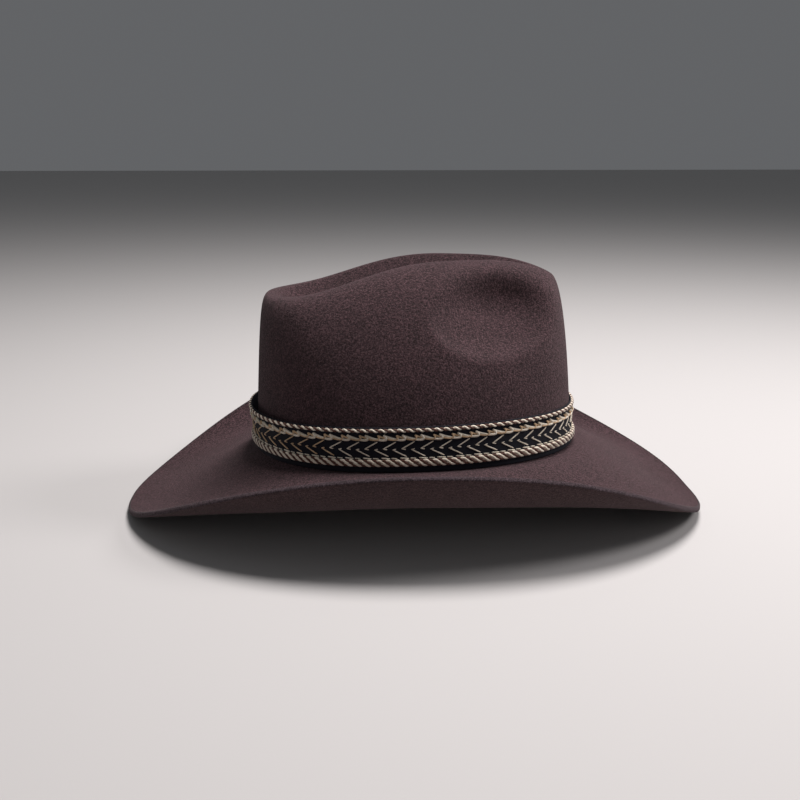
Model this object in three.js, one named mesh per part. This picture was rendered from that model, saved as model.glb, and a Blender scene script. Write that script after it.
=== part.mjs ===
// A western (cowboy) hat in wool felt, with a braided hatband, sweatband and satin lining.
// Millimetres. +X points to the front of the hat, +Y to the wearer's left, +Z up.
// The origin is on the ground under the middle of the hat, which stands on its two brim tips.
import * as THREE from "three";
import { mergeVertices } from "three/addons/utils/BufferGeometryUtils.js";

// ---- brim ----
const BRIM_HALF_LENGTH = 190; // front tip and rear tip
const BRIM_HALF_WIDTH = 151.5; // right and left edge
const BRIM_OVAL_POWER = 2.2; // 2 is an ellipse, more is squarer
const BRIM_WIDER_FRONT = 0.04; // share by which the front half is wider
const BRIM_TIP_TOP = 2.95; // height of the top face's edge at the tips
const BRIM_CURL = { right: 56.7, left: 62.4 }; // how far each side edge is curled up
const CURL_POWER_FRONT = { right: 2.15, left: 1.46 };
const CURL_POWER_REAR = { right: 3.15, left: 2.82 };
const CURL_SHOULDER = { right: 5.5, left: -3.1 }; // lift halfway between a tip and a side
const CURL_SKEW = { right: -5.2, left: -3.3 }; // lift that the rear shoulders have and the front lacks
const CURL_REAR_BIAS = { right: 0, left: 0.24 };
const SLOPE_SIDE_BREAK = 0.28; // slope of the brim where it leaves the crown
const SLOPE_SIDE_EDGE = 2.06; // slope at the curled edge
const SLOPE_FRONT_BREAK = -0.21;
const SLOPE_FRONT_EDGE = -0.05;
const SLOPE_REAR_BREAK = -0.83;
const SLOPE_REAR_EDGE = -0.07;
const BRIM_THICKNESS = 3.0;
const LAND_DEPTH = 2.2; // flat under each brim tip, along X

// ---- crown ----
const CROWN_REACH = { front: 103.9, rear: 104.4 }; // from the origin to the break, along X
const CROWN_HALF_WIDTH = 89.1;
const CROWN_OVAL_POWER = 2.22;
const BREAK_HEIGHT = { side: 43.0, front: 43.6, rear: 41.1 }; // where brim and crown meet
const BREAK_SKEW = 3.0; // the sides are higher ahead and lower behind
const CROWN_THICKNESS = 2.5;
const BREAK_RADIUS = 1.5;
const CREST_REAR = -91.1; // rear end of the crown's top edge
const CREST_FRONT = 85.4; // front end of it, where the crease closes
const CREST_HALF_WIDTH = 28.1; // at the middle of its length
const CREST_TAPER = 18.9; // narrower by this at the front, wider at the rear
const CREST_POWER = 2.6;
const CREST_TOP = 162.3;
const CREST_TOP_X = 21.9;
const CREST_FALL_REAR = 22.4;
const CREST_FALL_FRONT = 9.9;
const CREST_FRONT_POWER = 3.48; // more keeps the top level for longer
const CREASE_DEPTH = 0.62; // as a share of the crest's half width
const CREASE_STEEPNESS = 2.2;
const CREASE_LIP = 0.06; // share of the crease that rounds over its lip
const WALL_LEAN = { front: 0.36, rear: 0.31, side: 0.08 }; // part of the taper that is spread evenly
const WALL_LEAN_POWER = 1.2;
const WALL_CORNER = { front: 3.5, rear: 6.1, side: 1.7 }; // more is a tighter turn at the top
const DENT = { x: 47, z: 131, halfX: 43, below: 24.5, above: 29, depth: 16.5 };
const DENT_RISE = 0.1; // how far the deepest place is above the dent's middle

// ---- hatband ----
const BAND_LIFT = 0.6; // its lower edge above the break
const BAND_HEIGHT = 27;
const BAND_GAP = 0.55;
const BAND_REAR_GAP = 3.2; // its upper edge stands further off the crown at the rear
const WEBBING_THICKNESS = 0.8;
const TRIM_GAP = 0.3;

// ---- inside ----
const SWEATBAND_HEIGHT = 42;
const SWEATBAND_THICKNESS = 1.1;
const SKIN_GAP = 0.35;
const REED_RADIUS = 1.4;
const LINING_THICKNESS = 0.8;
const LINING_GAP = 3.4; // between the felt and the satin
const TIP_STEEPNESS = 2.4;

const COLUMNS = 60; // steps around the oval
const TAU = Math.PI * 2;

const COLOURS = {
  felt: 0x4a3836, thread: 0x2a2220, leather: 0x5d3a26, satin: 0x5b4a44, webbing: 0x17171c,
  cream: 0xd8c49c, ribbon: 0x2b2320, label: 0x3a2418,
};

// ---- small helpers ----
const signedPower = (v, p) => Math.sign(v) * Math.abs(v) ** p;
const lerp = (a, b, t) => a + (b - a) * t;
const clamp01 = (t) => Math.min(1, Math.max(0, t));
const sideOf = (s) => (s > 0 ? "left" : "right");

// A triangle list becomes one closed mesh whose faces point out.
function closedMesh(name, triangles, colour, roughness, metalness = 0) {
  let volume = 0;
  for (const [a, b, c] of triangles) {
    volume += a.dot(b.clone().cross(c));
  }
  const positions = [];
  for (const [a, b, c] of triangles) {
    const ordered = volume < 0 ? [a, c, b] : [a, b, c];
    ordered.forEach((v) => positions.push(v.x, v.y, v.z));
  }
  const soup = new THREE.BufferGeometry();
  soup.setAttribute("position", new THREE.Float32BufferAttribute(positions, 3));
  const geometry = mergeVertices(soup, 1e-4);
  geometry.computeVertexNormals();
  const material = new THREE.MeshStandardMaterial({ color: colour, roughness, metalness });
  const mesh = new THREE.Mesh(geometry, material);
  mesh.name = name;
  return mesh;
}

// Two triangles for each quad, leaving out the ones that close up to nothing.
function addQuad(triangles, a, b, c, d) {
  const same = (p, q) => p.distanceToSquared(q) < 1e-8;
  if (!same(a, b) && !same(b, c) && !same(c, a)) triangles.push([a, b, c]);
  if (!same(a, c) && !same(c, d) && !same(d, a)) triangles.push([a, c, d]);
}

// A section of a few points, carried right round the oval. section(theta) gives its points.
function ring(name, section, colour, roughness) {
  const loops = [];
  for (let i = 0; i < COLUMNS; i += 1) {
    loops.push(section((i / COLUMNS) * TAU));
  }
  const triangles = [];
  for (let i = 0; i < COLUMNS; i += 1) {
    const here = loops[i];
    const next = loops[(i + 1) % COLUMNS];
    for (let j = 0; j < here.length; j += 1) {
      const k = (j + 1) % here.length;
      addQuad(triangles, here[j], next[j], next[k], here[k]);
    }
  }
  return closedMesh(name, triangles, colour, roughness);
}

// The same, over part of the oval, with a flat cap at each end. Sections have four points.
function strip(name, from, to, steps, section, colour, roughness) {
  const loops = [];
  for (let i = 0; i <= steps; i += 1) {
    loops.push(section(lerp(from, to, i / steps)));
  }
  const triangles = [];
  for (let i = 0; i < steps; i += 1) {
    for (let j = 0; j < 4; j += 1) {
      const k = (j + 1) % 4;
      addQuad(triangles, loops[i][j], loops[i + 1][j], loops[i + 1][k], loops[i][k]);
    }
  }
  const [first, last] = [loops[0], loops[steps]];
  addQuad(triangles, first[0], first[1], first[2], first[3]);
  addQuad(triangles, last[3], last[2], last[1], last[0]);
  return closedMesh(name, triangles, colour, roughness);
}

// ---- the felt's surface ----

// The oval where the crown meets the brim.
function breakPoint(theta) {
  const c = Math.cos(theta);
  const s = Math.sin(theta);
  const end = c > 0 ? BREAK_HEIGHT.front : BREAK_HEIGHT.rear;
  return new THREE.Vector3(
    (c > 0 ? CROWN_REACH.front : CROWN_REACH.rear) * signedPower(c, 2 / CROWN_OVAL_POWER),
    CROWN_HALF_WIDTH * signedPower(s, 2 / CROWN_OVAL_POWER),
    BREAK_HEIGHT.side * s * s + end * c * c + BREAK_SKEW * c * s * s,
  );
}

// Level direction straight out from the crown's oval.
function breakOut(theta) {
  const p = breakPoint(theta);
  const n = CROWN_OVAL_POWER;
  const reach = p.x > 0 ? CROWN_REACH.front : CROWN_REACH.rear;
  return new THREE.Vector3(
    signedPower(p.x / reach, n - 1) / reach,
    signedPower(p.y / CROWN_HALF_WIDTH, n - 1) / CROWN_HALF_WIDTH,
    0,
  ).normalize();
}

// The edge of the brim's top face.
function brimEdge(theta) {
  const c = Math.cos(theta);
  const s = Math.sin(theta);
  const side = sideOf(s);
  const power = (c > 0 ? CURL_POWER_FRONT : CURL_POWER_REAR)[side];
  const shoulder = Math.sin(2 * theta) ** 2;
  const z = BRIM_TIP_TOP
    + BRIM_CURL[side] * Math.abs(s) ** power * (1 - CURL_REAR_BIAS[side] * c)
    + (CURL_SHOULDER[side] + CURL_SKEW[side] * c) * shoulder;
  return new THREE.Vector3(
    BRIM_HALF_LENGTH * signedPower(c, 2 / BRIM_OVAL_POWER),
    BRIM_HALF_WIDTH * signedPower(s, 2 / BRIM_OVAL_POWER) * (1 + BRIM_WIDER_FRONT * c),
    z,
  );
}

// The brim's top face: t is 0 at the break and 1 at the edge.
function brimPoint(theta, t) {
  const inner = breakPoint(theta);
  const outer = brimEdge(theta);
  const c = Math.cos(theta);
  const s = Math.sin(theta);
  const run = Math.hypot(outer.x - inner.x, outer.y - inner.y);
  const endBreak = c > 0 ? SLOPE_FRONT_BREAK : SLOPE_REAR_BREAK;
  const endEdge = c > 0 ? SLOPE_FRONT_EDGE : SLOPE_REAR_EDGE;
  const m0 = (SLOPE_SIDE_BREAK * s * s + endBreak * c * c) * run;
  const m1 = (SLOPE_SIDE_EDGE * s * s * Math.abs(s) + endEdge * c * c) * run;
  const z = (2 * t ** 3 - 3 * t ** 2 + 1) * inner.z + (t ** 3 - 2 * t ** 2 + t) * m0
    + (3 * t ** 2 - 2 * t ** 3) * outer.z + (t ** 3 - t ** 2) * m1;
  return new THREE.Vector3(lerp(inner.x, outer.x, t), lerp(inner.y, outer.y, t), z);
}

const CREST_MIDDLE = (CREST_FRONT + CREST_REAR) / 2;
const CREST_HALF_LENGTH = (CREST_FRONT - CREST_REAR) / 2;

function crestHeight(x) {
  if (x > CREST_TOP_X) {
    const ahead = (x - CREST_TOP_X) / (CREST_FRONT - CREST_TOP_X);
    return CREST_TOP - CREST_FALL_FRONT * ahead ** CREST_FRONT_POWER;
  }
  const back = clamp01((CREST_TOP_X - x) / (CREST_TOP_X - CREST_REAR)) ** 1.15;
  return CREST_TOP - (CREST_FALL_REAR * (1 - Math.cos(Math.PI * back))) / 2;
}

// The teardrop that the crown's top edge draws, blunt at the rear and pinched to a point in front.
function crestPoint(theta) {
  const along = signedPower(Math.cos(theta), 2 / CROWN_OVAL_POWER);
  const round = Math.max(0, 1 - Math.abs(along) ** CREST_POWER) ** (1 / CREST_POWER);
  const halfWidth = (CREST_HALF_WIDTH - CREST_TAPER * along) * round;
  const x = CREST_MIDDLE + CREST_HALF_LENGTH * along;
  return new THREE.Vector3(x, Math.sin(theta) < 0 ? -halfWidth : halfWidth, crestHeight(x));
}

// How far a dent presses the wall in. It starts sharply below and fades softly above.
function dentDepth(x, z) {
  const across = (x - DENT.x) / DENT.halfX;
  const up = (z - DENT.z) / (z < DENT.z ? DENT.below : DENT.above);
  const reach = 1 - across ** 2 - (up - DENT_RISE * (1 - up * up)) ** 2;
  if (Math.abs(up) >= 1 || reach <= 0) {
    return 0;
  }
  return DENT.depth * reach ** (0.8 + clamp01(0.5 + up));
}

// The crown's wall: w is 0 at the break and 1 at the crest. Each side has a pinched dent.
function wallPoint(theta, w) {
  const low = breakPoint(theta);
  const high = crestPoint(theta);
  const c = Math.cos(theta);
  const end = c > 0 ? "front" : "rear";
  const ends = Math.abs(c) ** 5;
  const corner = lerp(WALL_CORNER.side, WALL_CORNER[end], ends);
  const lean = lerp(WALL_LEAN.side, WALL_LEAN[end], ends);
  const turned = 1 - Math.max(0, 1 - w ** corner) ** (1 / corner);
  const inward = lean * w ** WALL_LEAN_POWER + (1 - lean) * turned;
  const p = new THREE.Vector3(
    lerp(low.x, high.x, inward),
    lerp(low.y, high.y, inward),
    lerp(low.z, high.z, w),
  );
  p.y = Math.sign(p.y) * Math.max(0, Math.abs(p.y) - dentDepth(p.x, p.z));
  return p;
}

// The fall across the crease: a small round lip, then steep, then flat at the bottom.
function bowl(q) {
  return 1 - Math.max(0, 1 - (q * q * (1 + CREASE_LIP)) / (q + CREASE_LIP)) ** CREASE_STEEPNESS;
}

// The crease inside the crest: q is 0 at the crest and 1 on the crease's bottom line.
function creasePoint(theta, q) {
  const crest = crestPoint(theta);
  const along = signedPower(Math.cos(theta), 2 / CROWN_OVAL_POWER);
  const bottomX = CREST_MIDDLE + 0.72 * CREST_HALF_LENGTH * along;
  const share = (bottomX - CREST_MIDDLE) / CREST_HALF_LENGTH;
  const round = Math.max(0, 1 - Math.abs(share) ** CREST_POWER) ** (1 / CREST_POWER);
  const depth = CREASE_DEPTH * (CREST_HALF_WIDTH - CREST_TAPER * share) * round;
  const bottomZ = crestHeight(bottomX) - depth;
  return new THREE.Vector3(
    lerp(crest.x, bottomX, q),
    q === 1 ? 0 : crest.y * (1 - q),
    lerp(crest.z, bottomZ, bowl(q)),
  );
}

const BRIM_STEPS = [1, 0.985, 0.84, 0.68, 0.52, 0.34, 0.16];
const BREAK_STEPS = [0, 0.5, 1];
const WALL_STEPS = [0.2, 0.38, 0.54, 0.68, 0.8, 0.9, 0.965, 1];
const CREASE_STEPS = [0.16, 0.4, 0.65, 0.85, 1];

// One line down the felt's outer skin, from the brim's edge to the bottom of the crease.
function feltLine(theta) {
  const inner = breakPoint(theta);
  const outer = brimEdge(theta);
  const run = Math.hypot(outer.x - inner.x, outer.y - inner.y);
  const tBreak = BREAK_RADIUS / run;
  const wBreak = BREAK_RADIUS / (crestPoint(theta).z - inner.z);
  const start = brimPoint(theta, tBreak);
  const end = wallPoint(theta, wBreak);
  const line = BRIM_STEPS.map((t) => brimPoint(theta, lerp(tBreak, 1, t)));
  for (const t of BREAK_STEPS) {
    const a = start.clone().lerp(inner, t);
    const b = inner.clone().lerp(end, t);
    line.push(a.lerp(b, t));
  }
  WALL_STEPS.forEach((w) => line.push(wallPoint(theta, lerp(wBreak, 1, w))));
  CREASE_STEPS.forEach((q) => line.push(creasePoint(theta, q)));
  return line;
}

function feltBody() {
  const columns = [];
  for (let i = 0; i < COLUMNS; i += 1) {
    columns.push(feltLine((i / COLUMNS) * TAU));
  }
  const rows = columns[0].length;
  const wallStart = BRIM_STEPS.length + 1;
  const inside = columns.map((line, i) => line.map((p, j) => {
    if (j === rows - 1) {
      return p.clone().add(new THREE.Vector3(0, 0, -CROWN_THICKNESS));
    }
    const before = line[Math.max(0, j - 1)];
    const after = line[j + 1];
    const left = columns[(i + COLUMNS - 1) % COLUMNS][j];
    const right = columns[(i + 1) % COLUMNS][j];
    const around = right.clone().sub(left);
    const down = after.clone().sub(before);
    const normal = around.cross(down).normalize();
    const thickness = j < wallStart ? BRIM_THICKNESS : CROWN_THICKNESS;
    return p.clone().addScaledVector(normal, -thickness);
  }));
  // The two brim tips are pressed flat underneath, where the hat stands on them.
  for (const tip of [0, COLUMNS / 2]) {
    for (const step of [-1, 0, 1]) {
      const line = inside[(tip + step + COLUMNS) % COLUMNS];
      const outward = Math.sign(line[0].x);
      line[0].z = 0;
      line[1].z = 0;
      line[1].x = line[0].x - outward * LAND_DEPTH;
    }
  }
  inside.forEach((line) => line.forEach((p) => {
    p.z = Math.max(p.z, 0);
  }));
  const triangles = [];
  for (let i = 0; i < COLUMNS; i += 1) {
    const k = (i + 1) % COLUMNS;
    for (let j = 0; j < rows - 1; j += 1) {
      addQuad(triangles, columns[i][j], columns[k][j], columns[k][j + 1], columns[i][j + 1]);
      addQuad(triangles, inside[i][j], inside[i][j + 1], inside[k][j + 1], inside[k][j]);
    }
    addQuad(triangles, columns[i][0], inside[i][0], inside[k][0], columns[k][0]);
  }
  return closedMesh("felt_body", triangles, COLOURS.felt, 0.95);
}

// ---- rings that follow the crown ----

// A point level with the wall at a height above the break, a distance out from it.
function offWall(theta, height, out) {
  const low = breakPoint(theta);
  const w = Math.max(0, height / (crestPoint(theta).z - low.z));
  const p = wallPoint(theta, w);
  p.z = low.z + height;
  return p.addScaledVector(breakOut(theta), out);
}

// The hatband leans with the wall, and its upper edge stands off at the rear.
function offBand(theta, height, out) {
  const rear = Math.max(0, -Math.cos(theta)) ** 3;
  const low = offWall(theta, BAND_LIFT, BAND_GAP + out);
  const high = offWall(theta, BAND_LIFT + BAND_HEIGHT, BAND_GAP + BAND_REAR_GAP * rear + out);
  return low.lerp(high, height / BAND_HEIGHT);
}

// A flat tape on the band: heights of its lower and upper edge, and how proud it stands.
function bandTape(name, bottom, top, thickness, colour) {
  const inner = WEBBING_THICKNESS + TRIM_GAP;
  return ring(name, (theta) => [
    offBand(theta, bottom, inner),
    offBand(theta, bottom, inner + thickness),
    offBand(theta, top, inner + thickness),
    offBand(theta, top, inner),
  ], colour, 0.8);
}

// A cord on the band, an oval in section: half its height, and half its thickness.
function bandCord(name, height, halfHeight, halfThickness, colour) {
  const middle = WEBBING_THICKNESS + TRIM_GAP + halfThickness;
  return ring(name, (theta) => [0, 1, 2, 3, 4, 5].map((j) => {
    const turn = (j / 6) * TAU;
    const up = height + halfHeight * Math.sin(turn);
    return offBand(theta, up, middle + halfThickness * Math.cos(turn));
  }), colour, 0.8);
}

function hatband() {
  const group = new THREE.Group();
  group.add(ring("hatband_webbing", (theta) => [
    offBand(theta, 0, 0),
    offBand(theta, 0, WEBBING_THICKNESS),
    offBand(theta, BAND_HEIGHT, WEBBING_THICKNESS),
    offBand(theta, BAND_HEIGHT, 0),
  ], COLOURS.webbing, 0.8));
  group.add(bandCord("hatband_lower_rope", 5.8, 2.1, 0.9, COLOURS.cream));
  group.add(bandTape("hatband_dash_row", 7.9, 9.2, 0.6, COLOURS.cream));
  group.add(bandTape("hatband_chevron_lower", 9.6, 13.8, 0.6, COLOURS.cream));
  group.add(bandTape("hatband_chevron_upper", 14.2, 18.4, 0.6, COLOURS.cream));
  group.add(bandTape("hatband_chain_braid", 18.8, 22.9, 0.9, COLOURS.cream));
  group.add(bandCord("hatband_upper_cord", 25.1, 1.1, 0.8, COLOURS.cream));
  return group;
}

// ---- inside of the crown ----
const INSIDE = -(CROWN_THICKNESS + SKIN_GAP);

function insideBand(bottom, top, outer, thickness) {
  return (theta) => [
    offWall(theta, bottom, outer),
    offWall(theta, top, outer),
    offWall(theta, top, outer - thickness),
    offWall(theta, bottom, outer - thickness),
  ];
}

function sweatband() {
  const group = new THREE.Group();
  const bottom = 0.6;
  const middle = SWEATBAND_HEIGHT / 2;
  const top = SWEATBAND_HEIGHT;
  group.add(ring("sweatband", (theta) => [
    offWall(theta, bottom, INSIDE),
    offWall(theta, middle, INSIDE),
    offWall(theta, top, INSIDE),
    offWall(theta, top, INSIDE - SWEATBAND_THICKNESS),
    offWall(theta, middle, INSIDE - SWEATBAND_THICKNESS),
    offWall(theta, bottom, INSIDE - SWEATBAND_THICKNESS),
  ], COLOURS.leather, 0.6));
  group.add(ring("sweatband_reed", (theta) => {
    const points = [];
    for (let j = 0; j < 6; j += 1) {
      const turn = (j / 6) * TAU;
      const p = breakPoint(theta).addScaledVector(
        breakOut(theta),
        INSIDE - REED_RADIUS - 0.6 + REED_RADIUS * Math.cos(turn),
      );
      p.z += 0.6 - SKIN_GAP - REED_RADIUS + REED_RADIUS * Math.sin(turn);
      points.push(p);
    }
    return points;
  }, COLOURS.leather, 0.6));
  const face = INSIDE - SWEATBAND_THICKNESS - 0.3;
  group.add(ring("sweatband_stitching", insideBand(3.2, 4.0, face, 0.5), COLOURS.cream, 0.8));
  const rear = Math.PI;
  group.add(strip(
    "sweatband_back_seam", rear - 0.075, rear + 0.075, 2,
    insideBand(5, 41, face, 0.6), COLOURS.leather, 0.6,
  ));
  group.add(strip(
    "size_label", rear - 0.62, rear - 0.46, 2,
    insideBand(12, 30, face, 0.5), COLOURS.label, 0.7,
  ));
  return group;
}

// A small flat ribbon bow on the seam, two loops, a knot and two tails in one outline.
function bow() {
  const outline = new THREE.Shape();
  const points = [
    [0, 2.2], [2.2, 2.4], [6, 4.6], [11, 5], [12, 0.6], [10.5, -3.4], [6, -3], [3.4, -2.2],
    [7.5, -9.5], [3.2, -10.4], [0, -3.4],
  ];
  points.forEach(([x, y], i) => (i ? outline.lineTo(x, y) : outline.moveTo(x, y)));
  points.slice(1, -1).reverse().forEach(([x, y]) => outline.lineTo(-x, y));
  outline.closePath();
  const depth = 1.4;
  const geometry = new THREE.ExtrudeGeometry(outline, { depth, bevelEnabled: false });
  const material = new THREE.MeshStandardMaterial({ color: COLOURS.ribbon, roughness: 0.5 });
  const mesh = new THREE.Mesh(geometry, material);
  mesh.name = "sweatband_bow";
  const seat = offWall(Math.PI, 12, INSIDE - SWEATBAND_THICKNESS - 1.8);
  const [ahead, left, up] = [[1, 0, 0], [0, 1, 0], [0, 0, 1]].map((v) => new THREE.Vector3(...v));
  mesh.setRotationFromMatrix(new THREE.Matrix4().makeBasis(left, up, ahead));
  mesh.position.set(seat.x, seat.y, seat.z + 6);
  return mesh;
}

// ---- satin lining ----
const LINING_STEPS = [0.54, 0.61, 0.68, 0.74, 0.8, 0.85]; // shares of the wall's height

// A point on the wall at w, moved in along the surface's own normal.
function underWall(theta, w, depth) {
  const step = 0.01;
  const p = wallPoint(theta, w);
  const around = wallPoint(theta + step, w).sub(wallPoint(theta - step, w));
  const up = wallPoint(theta, w + step).sub(wallPoint(theta, w - step));
  return p.addScaledVector(around.cross(up).normalize(), -depth);
}

function lining() {
  const group = new THREE.Group();
  const outer = CROWN_THICKNESS + LINING_GAP;
  group.add(ring("lining_side", (theta) => {
    const low = (SWEATBAND_HEIGHT + 1.5) / (crestPoint(theta).z - breakPoint(theta).z);
    const levels = [low, ...LINING_STEPS];
    const out = levels.map((w) => underWall(theta, w, outer));
    const back = levels.map((w) => underWall(theta, w, outer + LINING_THICKNESS)).reverse();
    return [...out, ...back];
  }, COLOURS.satin, 0.4));
  const pipingDepth = outer + 0.6;
  const pipingAt = LINING_STEPS[LINING_STEPS.length - 1] + 0.025;
  group.add(ring("lining_piping", (theta) => {
    const centre = underWall(theta, pipingAt, pipingDepth);
    const out = breakOut(theta);
    return [0, 1, 2, 3, 4, 5].map((j) => {
      const turn = (j / 6) * TAU;
      const p = centre.clone().addScaledVector(out, 0.7 * Math.cos(turn));
      p.z += 0.7 * Math.sin(turn);
      return p;
    });
  }, COLOURS.satin, 0.4));
  group.add(liningTip(pipingAt, pipingDepth + 1.6));
  return group;
}

// The oval top panel hangs under the crease and is joined to the side lining by the piping.
function liningTip(atWall, depth) {
  const steps = [0, 0.3, 0.6, 0.85, 1];
  const top = [];
  for (let i = 0; i < COLUMNS; i += 1) {
    const theta = (i / COLUMNS) * TAU;
    const edge = underWall(theta, atWall, depth);
    const bottom = creasePoint(theta, 1);
    bottom.z -= CROWN_THICKNESS + 1.4;
    top.push(steps.map((t) => {
      const p = edge.clone().lerp(bottom, t);
      p.z = lerp(edge.z, bottom.z, 1 - (1 - t) ** TIP_STEEPNESS);
      p.y = t === 1 ? 0 : p.y;
      return p;
    }));
  }
  const under = top.map((line) => line.map((p) => {
    const q = p.clone();
    q.z -= LINING_THICKNESS;
    return q;
  }));
  const triangles = [];
  for (let i = 0; i < COLUMNS; i += 1) {
    const k = (i + 1) % COLUMNS;
    for (let j = 0; j < steps.length - 1; j += 1) {
      addQuad(triangles, top[i][j], top[k][j], top[k][j + 1], top[i][j + 1]);
      addQuad(triangles, under[i][j], under[i][j + 1], under[k][j + 1], under[k][j]);
    }
    addQuad(triangles, top[i][0], under[i][0], under[k][0], top[k][0]);
  }
  return closedMesh("lining_tip", triangles, COLOURS.satin, 0.4);
}

// A thread laid along the brim's top face, just inside the cut edge.
function brimStitching() {
  return ring("brim_edge_stitching", (theta) => {
    const lift = (t, h) => {
      const step = 0.01;
      const p = brimPoint(theta, t);
      const around = brimPoint(theta + step, t).sub(brimPoint(theta - step, t));
      const outward = brimPoint(theta, t + step).sub(brimPoint(theta, t - step));
      return p.addScaledVector(around.cross(outward).normalize(), -h);
    };
    return [lift(0.992, 0.4), lift(0.985, 0.4), lift(0.985, 0.8), lift(0.992, 0.8)];
  }, COLOURS.thread, 0.9);
}

const hat = new THREE.Group();
hat.add(feltBody());
hat.add(brimStitching());
hat.add(hatband());
hat.add(sweatband());
hat.add(bow());
hat.add(lining());

export default hat;
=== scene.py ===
"""A brown wool felt western hat with a braided hatband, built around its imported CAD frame."""
import math
import random

import bpy
import numpy as np
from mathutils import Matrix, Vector


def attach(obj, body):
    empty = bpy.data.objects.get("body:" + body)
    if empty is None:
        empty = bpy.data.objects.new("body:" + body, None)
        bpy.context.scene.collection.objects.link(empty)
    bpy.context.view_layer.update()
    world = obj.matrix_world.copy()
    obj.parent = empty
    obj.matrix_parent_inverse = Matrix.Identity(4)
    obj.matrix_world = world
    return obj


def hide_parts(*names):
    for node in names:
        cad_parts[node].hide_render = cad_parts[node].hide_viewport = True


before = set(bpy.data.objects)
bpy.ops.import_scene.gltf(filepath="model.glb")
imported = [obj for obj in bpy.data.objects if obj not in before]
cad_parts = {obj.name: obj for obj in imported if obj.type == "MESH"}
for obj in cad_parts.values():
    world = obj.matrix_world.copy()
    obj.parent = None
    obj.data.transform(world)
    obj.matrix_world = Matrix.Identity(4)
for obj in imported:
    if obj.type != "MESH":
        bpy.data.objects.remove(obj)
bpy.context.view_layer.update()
RNG = random.Random(7)
TAU = 2 * math.pi
MM = 0.001

# ---- the hat's driving dimensions, in millimetres, as in the CAD ----
BRIM_HALF_LENGTH = 190.0
BRIM_HALF_WIDTH = 151.5
BRIM_OVAL_POWER = 2.2
BRIM_WIDER_FRONT = 0.04
BRIM_TIP_TOP = 2.95
BRIM_CURL = (56.7, 62.4)  # right, left
CURL_POWER_FRONT = (2.15, 1.46)
CURL_POWER_REAR = (3.15, 2.82)
CURL_SHOULDER = (5.5, -3.1)
CURL_SKEW = (-5.2, -3.3)
CURL_REAR_BIAS = (0.0, 0.24)
SLOPE_SIDE_BREAK = 0.28
SLOPE_SIDE_EDGE = 2.06
SLOPE_FRONT_BREAK = -0.21
SLOPE_FRONT_EDGE = -0.05
SLOPE_REAR_BREAK = -0.83
SLOPE_REAR_EDGE = -0.07
BRIM_THICKNESS = 3.0
CROWN_FRONT = 103.9
CROWN_REAR = 104.4
CROWN_HALF_WIDTH = 89.1
CROWN_OVAL_POWER = 2.22
BREAK_SIDE = 43.0
BREAK_FRONT = 43.6
BREAK_REAR = 41.1
BREAK_SKEW = 3.0
CROWN_THICKNESS = 2.5
BREAK_RADIUS = 1.5
CREST_REAR = -91.1
CREST_FRONT = 85.4
CREST_HALF_WIDTH = 28.1
CREST_TAPER = 18.9
CREST_POWER = 2.6
CREST_TOP = 162.3
CREST_TOP_X = 21.9
CREST_FALL_REAR = 22.4
CREST_FALL_FRONT = 9.9
CREST_FRONT_POWER = 3.48
CREASE_DEPTH = 0.62
CREASE_STEEPNESS = 2.2
CREASE_LIP = 0.06
LEAN_FRONT, LEAN_REAR, LEAN_SIDE = 0.36, 0.31, 0.08
LEAN_POWER = 1.2
CORNER_FRONT, CORNER_REAR, CORNER_SIDE = 3.5, 6.1, 1.7
DENT_X, DENT_Z, DENT_HALF_X, DENT_DEPTH = 47.0, 131.0, 43.0, 16.5
DENT_BELOW, DENT_ABOVE = 24.5, 29.0  # how far it reaches down and up
DENT_RISE = 0.1  # how far the deepest place is above its middle
BAND_LIFT = 0.6
BAND_HEIGHT = 27.0
BAND_GAP = 0.55
BAND_REAR_GAP = 3.2
WEBBING = 0.8
REPEATS = 56  # of the stitched pattern, round the band
INSIDE = -(CROWN_THICKNESS + 0.35)
SWEATBAND_HEIGHT = 42.0
SWEATBAND_THICKNESS = 1.1
CREST_MIDDLE = (CREST_FRONT + CREST_REAR) / 2
CREST_HALF_LENGTH = (CREST_FRONT - CREST_REAR) / 2


# ---- the felt's surface ----
def spow(v, p):
    return np.sign(v) * np.abs(v) ** p


def mix(a, b, t):
    return a + (b - a) * t


def stack(x, y, z):
    return np.stack(np.broadcast_arrays(x, y, z), axis=-1)


def by_side(s, pair):
    return np.where(s > 0, pair[1], pair[0])


def break_point(th):
    """The oval where crown and brim meet."""
    c, s = np.cos(th), np.sin(th)
    x = np.where(c > 0, CROWN_FRONT, CROWN_REAR) * spow(c, 2 / CROWN_OVAL_POWER)
    y = CROWN_HALF_WIDTH * spow(s, 2 / CROWN_OVAL_POWER)
    z = BREAK_SIDE * s * s + np.where(c > 0, BREAK_FRONT, BREAK_REAR) * c * c + BREAK_SKEW * c * s * s
    return stack(x, y, z)


def break_out(th):
    """Level direction straight out from that oval."""
    p = break_point(th)
    reach = np.where(p[..., 0] > 0, CROWN_FRONT, CROWN_REAR)
    n = CROWN_OVAL_POWER
    x = spow(p[..., 0] / reach, n - 1) / reach
    y = spow(p[..., 1] / CROWN_HALF_WIDTH, n - 1) / CROWN_HALF_WIDTH
    size = np.hypot(x, y)
    return stack(x / size, y / size, 0 * x)


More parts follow.
